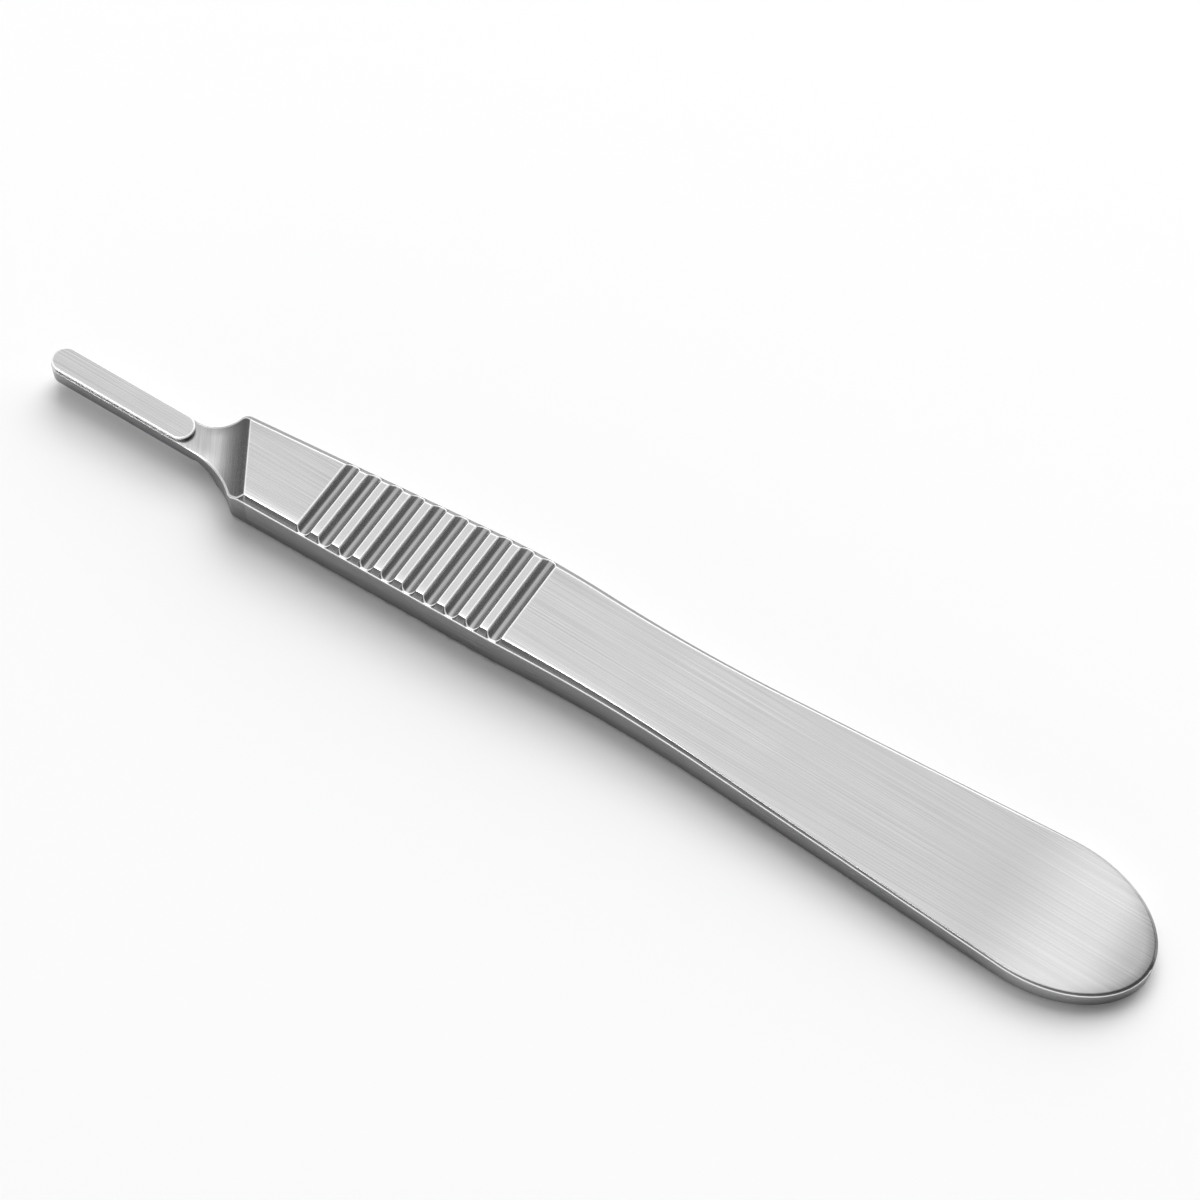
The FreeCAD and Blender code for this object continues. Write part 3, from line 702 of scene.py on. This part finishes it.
def grain(tree, place, turn, size, detail, seed):
    """Noise in long thin strokes, around zero. Size is their length, width and height in mm."""
    turned = add_node(tree, "ShaderNodeMapping", (), {"Vector": place, "Rotation": (0, 0, -turn)})
    scale = tuple(1 / (span * MILLIMETRE) for span in size)
    stretched = add_node(tree, "ShaderNodeVectorMath", {"operation": "MULTIPLY"}, {0: turned, 1: scale})
    shifted = add_node(tree, "ShaderNodeVectorMath", {"operation": "ADD"}, {0: stretched, 1: (seed, 0, 0)})
    return add_node(tree, "ShaderNodeTexNoise", (), {
        "Vector": shifted, "Scale": 1.0, "Detail": detail, "Roughness": 0.6, "Lacunarity": 2.0,
    }) - NOISE_MIDDLE


# %% Strokes of the whole handle
ACROSS = math.pi / 2
STROKES = {
    "long": {"turn": 0.0, "size": (36.0, 0.15, 90.0), "detail": 1.0, "seed": 3.1},
    "fine": {"turn": 0.0, "size": (20.0, 0.08, 90.0), "detail": 0.0, "seed": 7.7},
    "side": {"turn": 0.0, "size": (12.0, 90.0, 0.12), "detail": 1.0, "seed": 4.4},
    "cross": {"turn": ACROSS, "size": (5.0, 0.12, 0.12), "detail": 2.0, "seed": 1.3},
    "slanted": {"turn": ACROSS + SHOULDER_SLANT, "size": (5.0, 0.16, 0.16), "detail": 3.0, "seed": 5.9},
}
STROKE_WEIGHT = {"long": 0.4, "fine": 0.6, "side": 0.6, "cross": 0.5, "slanted": 0.55}
RIDGE_CALM = 0.9


def brushing(tree, place, mask):
    """The strokes of all cuts, each kind on its own part of the handle."""
    clear = 1.0 - mask["in_groove"]
    top = clear * (1.0 - mask["scooped"]) * (1.0 - mask["ridge"] * RIDGE_CALM) * (1.0 - mask["side"])
    shown_on = {"long": top, "fine": top, "side": mask["side"], "cross": mask["in_groove"],
                "slanted": mask["scooped"] * clear}
    strokes = 0.0
    for name, kind in STROKES.items():
        strokes = grain(tree, place, **kind) * STROKE_WEIGHT[name] * shown_on[name] + strokes
    return strokes


# %% What makes the steel light, dark or dull
STEEL_MASKS = ("scooped", "groove_depth", "groove_rim", "ridged", "rounded", "painted_shade", "side")
GROOVE_FADE = (0.01, 0.08)
# A painted highlight on the tail, then painted shade at the end of the butt.
TAIL_HIGHLIGHT, BUTT_SHADE = (46.0 * MILLIMETRE, 55.0 * MILLIMETRE), (56.5 * MILLIMETRE, 62.0 * MILLIMETRE)
CLOUDS = {"Scale": 160.0, "Detail": 3.0, "Roughness": 0.55}
PLAIN_SHADE, PLAIN_ROUGHNESS, ROUGHNESS_RANGE = 0.62, 0.23, (0.12, 0.6)
# Besides the grain and the random clouds, the shade paints light and shade: painted highlights on the rounds,
# rims and tail, and painted shade in the grooves, on the ground edges and sides and at the end of the butt.
SHADE = {"strokes": 0.5, "clouds": 0.06, "rounds_highlight": 0.35, "ridge": 0.05, "shaded_groove": -0.28,
         "painted_shade": -0.45, "side": -0.39, "scooped": -0.13, "tail_highlight": 0.28, "butt_shade": -0.42}
ROUGHNESS = {"strokes": 0.16, "clouds": 0.05, "rounds_highlight": -0.1, "in_groove": 0.03, "side": 0.06}


def weighed(start, weights, parts):
    """The start value plus each part times its weight."""
    total = start
    for name, weight in weights.items():
        total = parts[name] * weight + total
    return total


def steel_parts(tree, place):
    """All masks and strokes that shade the steel, by name."""
    part = {name: add_node(tree, "ShaderNodeAttribute", {"attribute_name": name}, output="Fac")
            for name in STEEL_MASKS}
    part["in_groove"] = part["groove_depth"].step(*GROOVE_FADE)
    part["ridge"] = part["ridged"] * (1.0 - part["in_groove"])
    part["rounds_highlight"] = part["rounded"].at_least(part["groove_rim"])
    # The grooves are darker away from their rims: painted shade.
    part["shaded_groove"] = part["in_groove"] * (1.0 - part["rounds_highlight"])
    part["strokes"] = brushing(tree, place, part)
    part["clouds"] = add_node(tree, "ShaderNodeTexNoise", (), {"Vector": place, **CLOUDS}) - NOISE_MIDDLE
    along = add_node(tree, "ShaderNodeSeparateXYZ", (), {0: place}, "X")
    part["tail_highlight"] = along.step(*TAIL_HIGHLIGHT)
    part["butt_shade"] = along.step(*BUTT_SHADE)
    return part


# %% The steel
DARK_STEEL, BRIGHT_STEEL = (0.20, 0.20, 0.205, 1), (0.93, 0.93, 0.93, 1)
# Rounds and rims with a painted highlight are less metallic, so they scatter the edge light.
HIGHLIGHT_SCATTER = 0.75
BUMP_STRENGTH, BUMP_HEIGHT = 0.15, 0.00003


def steel_material():
    material = bpy.data.materials.new("brushed_steel")
    material.use_nodes = True
    tree = material.node_tree
    tree.nodes.clear()
    part = steel_parts(tree, add_node(tree, "ShaderNodeTexCoord", output="Object"))
    colour = add_node(tree, "ShaderNodeMix", {"data_type": "RGBA", "clamp_factor": True}, {
        "Factor_Float": weighed(PLAIN_SHADE, SHADE, part), "A_Color": DARK_STEEL, "B_Color": BRIGHT_STEEL,
    }, "Result_Color")
    roughness = weighed(PLAIN_ROUGHNESS, ROUGHNESS, part)
    bump = add_node(tree, "ShaderNodeBump", (), {
        "Strength": BUMP_STRENGTH, "Distance": BUMP_HEIGHT, "Height": part["strokes"],
    })
    surface = add_node(tree, "ShaderNodeBsdfPrincipled", (), {
        "Base Color": colour,
        "Metallic": 1.0 - part["rounds_highlight"] * HIGHLIGHT_SCATTER,
        "Roughness": roughness.at_least(ROUGHNESS_RANGE[0]).at_most(ROUGHNESS_RANGE[1]),
        "Normal": bump,
    })
    add_node(tree, "ShaderNodeOutputMaterial", (), {"Surface": surface})
    return material


steel = steel_material()
print(steel.name, "has", len(steel.node_tree.nodes), "nodes")
cut_grooves(bar, groove_tree(steel))

# %% [markdown]
# ## The key that holds the blade
# The blade slides over a long head with round ends and springs into the slot below it. The head is a thin
# plate whose upper rim gets a painted highlight, and the slot is a step back all round below it, its core
# darkened with painted shade. They could be part of the skin, but its rungs can't turn under the head. So
# head and slot core are plates of their own. Each is a chain of rings of the same round-ended shape, which
# starts at the middle line below, runs out and up around the rim, and ends at the middle line on top. The
# core is sunk a little into the seat and into the head.

# %% A plate with round ends
END_STEPS, EDGE_STEPS = 28, 20


def round_ended_ring(inset, height):
    """One ring: half circles at both ends and straight sides, moved in by the inset."""
    radius = max(FITTING_HALF - inset, 0)
    turn = np.linspace(math.pi / 2, 3 * math.pi / 2, END_STEPS)
    run = np.linspace(FITTING_HALF, FITTING_LENGTH - FITTING_HALF, EDGE_STEPS)[1:-1]
    front = np.stack([FITTING_HALF + radius * np.cos(turn), radius * np.sin(turn)], 1)
    back = np.stack([FITTING_LENGTH - FITTING_HALF - radius * np.cos(turn), -radius * np.sin(turn)], 1)
    near = np.stack([run, np.full(len(run), -radius)], 1)
    plan = np.concatenate([front, near, back, near[::-1] * [1, -1]])
    return np.column_stack([plan[:, 0], plan[:, 1] + FITTING_Y, np.full(len(plan), height)])


def round_ended_plate(name, profile, shade_all_over):
    """A closed plate from a list of inset, height and painted highlight, darkened all over by a share of
    painted shade.
    """
    rings = [round_ended_ring(inset, height) for inset, height, _ in profile]
    columns = len(rings[0])
    numbers = {mask: np.zeros(columns * len(rings)) for mask in STEEL_MASKS}
    numbers["painted_shade"] += shade_all_over
    numbers["rounded"] += np.repeat([painted_highlight for *_, painted_highlight in profile], columns)
    return add_piece(name, np.concatenate(rings), ring_faces(len(rings), columns), numbers)


# %% Slot core and key head
SLOT_INSET, SLOT_HEIGHT, SUNK = 0.28, 0.33, 0.06
KEY_INSET, KEY_THICKNESS, KEY_ROUND, KEY_UNDER_ROUND = 0.10, 0.26, 0.12, 0.03
SLOT_TOP = SEAT + SLOT_HEIGHT
KEY_TOP = SLOT_TOP + KEY_THICKNESS
# The rim of the key head gets a painted highlight, its lower round half as much.
RIM_POINTS, LOWER_POINTS, LOWER_HIGHLIGHT = 7, 4, 0.5
KEY_FLOOR, KEY_FACE = (FITTING_HALF, 0.5), (0.30, 0.6, 1.1, FITTING_HALF)
SLOT_FACE = (SLOT_INSET, 0.6, FITTING_HALF)


def flat_face(height, insets):
    return [(inset, height, 0.0) for inset in insets]


rim = [(KEY_INSET + KEY_ROUND * (1 - math.cos(turn)), KEY_TOP - KEY_ROUND * (1 - math.sin(turn)), 1.0)
       for turn in np.linspace(0, math.pi / 2, RIM_POINTS)]
lower = [(KEY_INSET + KEY_UNDER_ROUND * (1 - math.sin(turn)),
          SLOT_TOP + KEY_UNDER_ROUND * (1 - math.cos(turn)), LOWER_HIGHLIGHT)
         for turn in np.linspace(0, math.pi / 2, LOWER_POINTS)]
key_profile = flat_face(SLOT_TOP, KEY_FLOOR) + lower + rim + flat_face(KEY_TOP, KEY_FACE)
slot_profile = flat_face(SEAT - SUNK, SLOT_FACE[::-1]) + flat_face(SLOT_TOP + SUNK, SLOT_FACE)
key_head = round_ended_plate("blade_key_head", key_profile, 0.0)
# The slot core is darkened all over: painted shade in its recess.
slot_core = round_ended_plate("blade_slot_core", slot_profile, 1.0)
for piece in (key_head, slot_core):
    piece.data.materials.append(steel)

# %% [markdown]
# ## Each piece takes its place
# The real handle is one bar, and the solid model has one node for it. All three pieces stand for that node
# and ride on it, so they move as one.

# %% Ride on the solid
for piece in (bar, key_head, slot_core):
    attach(piece, "root")
    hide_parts("handle")
    print(piece.name, "rides on the handle")

# %% [markdown]
# ## Floor, light and camera
# Steel shows what it mirrors, so the room around it does most of the work. It could be built from large
# panels, but a world whose brightness changes with the direction gives softer borders. Two lamps help. One
# lights only the floor and keeps it pale. The other lights only the handle, where the edges with painted
# highlights scatter its light and turn into bright lines.

# %% Pale floor
FLOOR_HALF, FLOOR_COLOUR = 3.0, (0.92, 0.92, 0.92, 1)


def pale_floor():
    mesh = bpy.data.meshes.new("floor")
    corners = [(x * FLOOR_HALF, y * FLOOR_HALF, 0) for x, y in ((-1, -1), (1, -1), (1, 1), (-1, 1))]
    mesh.from_pydata(corners, [], [(0, 1, 2, 3)])
    floor = bpy.data.objects.new("floor", mesh)
    bpy.context.scene.collection.objects.link(floor)
    material = bpy.data.materials.new("pale_floor")
    material.use_nodes = True
    tree = material.node_tree
    tree.nodes.clear()
    surface = add_node(tree, "ShaderNodeBsdfDiffuse", (), {"Color": FLOOR_COLOUR})
    add_node(tree, "ShaderNodeOutputMaterial", (), {"Surface": surface})
    mesh.materials.append(material)
    return floor


pale_floor()
print("floor:", 2 * FLOOR_HALF, "m wide")

# %% Soft light
def soft_light(name, lit, azimuth, elevation, distance, size, power):
    """A square light that faces the handle and lights only some pieces. Azimuth is from +X towards +Y."""
    data = bpy.data.lights.new(name, "AREA")
    data.shape, data.size, data.energy = "SQUARE", size, power
    lamp = bpy.data.objects.new(name, data)
    turn, rise = math.radians(azimuth), math.radians(elevation)
    away = Vector((math.cos(turn) * math.cos(rise), math.sin(turn) * math.cos(rise), math.sin(rise)))
    lamp.location = away * distance
    lamp.rotation_euler = away.to_track_quat("Z", "Y").to_euler()
    lamp.visible_camera = False
    bpy.context.scene.collection.objects.link(lamp)
    only = bpy.data.collections.new(name + "_only")
    for piece in lit:
        only.objects.link(piece)
    lamp.light_linking.receiver_collection = only
    print(name, "lights", [piece.name for piece in lit])


LAMPS = {
    "floor_light": {"azimuth": 108, "elevation": 52, "distance": 2.5, "size": 2.2, "power": 49.8},
    "edge_light": {"azimuth": -125.5, "elevation": 64.5, "distance": 2.5, "size": 1.4, "power": 50.0},
}
soft_light("floor_light", [bpy.data.objects["floor"]], **LAMPS["floor_light"])
soft_light("edge_light", [bar, key_head, slot_core], **LAMPS["edge_light"])

# %% [markdown]
# Each bright part of the room is a patch: a direction in which the steel finds something to mirror. The tent
# overhead fills the flat top, the patches in front and behind light what leans that way, and the room stays
# dim elsewhere, so the sides turn dark. A patch fades along the axes of the room, each time from a dark limit
# to a bright one.

# %% Patches of the room
ROOM_PATCHES = {
    "tent": (("x", 0.16, -0.03), ("y", -0.45, 0.0), ("z", 0.2, 1.02)),
    "front": (("y", -0.5, -0.92), ("off_level", 0.34, 0.1)),
    "low_front": (("y", -0.4, -0.8), ("z", 0.7, 0.35)),
    "back": (("y", 0.5, 0.7), ("z", 0.02, 0.1), ("z", 0.8, 0.6)),
    "strip": (("x", -0.1, -0.24), ("y", -0.14, 0.0), ("y", 0.3, 0.16), ("z", 0.6, 0.8)),
    "horizon": (("off_level", 0.05, 0.0),),
}
PATCH_LIGHT = {"tent": 0.90, "front": 1.2, "low_front": 0.06, "back": 1.6, "strip": 0.8, "horizon": 0.6}
DIM_ROOM, TENT_LEAN = 0.12, 0.2


def patch(way, limits):
    """1 inside a patch of the room, 0 outside, and soft between."""
    share = 1.0
    for axis, dark, bright in limits:
        share = way[axis].step(dark, bright) * share
    return share


# %% The room that the steel mirrors
def studio_room():
    """A world that is bright in its patches and dim elsewhere. The tent gets brighter towards the butt."""
    world = bpy.data.worlds.new("studio_room")
    world.use_nodes = True
    tree = world.node_tree
    tree.nodes.clear()
    facing = add_node(tree, "ShaderNodeTexCoord", output="Generated")
    way = {axis: add_node(tree, "ShaderNodeSeparateXYZ", (), {0: facing}, axis.upper()) for axis in "xyz"}
    way["off_level"] = way["z"].math("ABSOLUTE")
    light = {name: patch(way, limits) for name, limits in ROOM_PATCHES.items()}
    light["tent_lean"] = light["tent"] * way["x"]
    brightness = weighed(DIM_ROOM, {**PATCH_LIGHT, "tent_lean": TENT_LEAN}, light)
    sky = add_node(tree, "ShaderNodeBackground", (), {"Color": (1, 1, 1, 1), "Strength": brightness})
    add_node(tree, "ShaderNodeOutputWorld", (), {"Surface": sky})
    return world


bpy.context.scene.world = studio_room()
print("patches of the room:", ", ".join(ROOM_PATCHES))

# %% [markdown]
# The camera looks down on the near side from high up and a little to the right. Its place was worked out
# from the straight edges of the handle in the picture.

# %% Camera
CAMERA_PLACE, CAMERA_TILT, CAMERA_TURN = (82.503, -123.315, 280.58), 28.7911, 33.1185

camera_data = bpy.data.cameras.new("camera")
camera_data.sensor_width, camera_data.lens = 36.0, 97.70
camera_data.clip_start, camera_data.clip_end = 0.01, 20.0
camera = bpy.data.objects.new("camera", camera_data)
camera.location = np.array(CAMERA_PLACE) * MILLIMETRE
camera.rotation_euler = (math.radians(CAMERA_TILT), 0, math.radians(CAMERA_TURN))
bpy.context.scene.collection.objects.link(camera)
bpy.context.scene.camera = camera
bpy.context.scene.view_settings.view_transform = "Standard"
print("camera, m from the handle:", round(camera.location.length, 3))
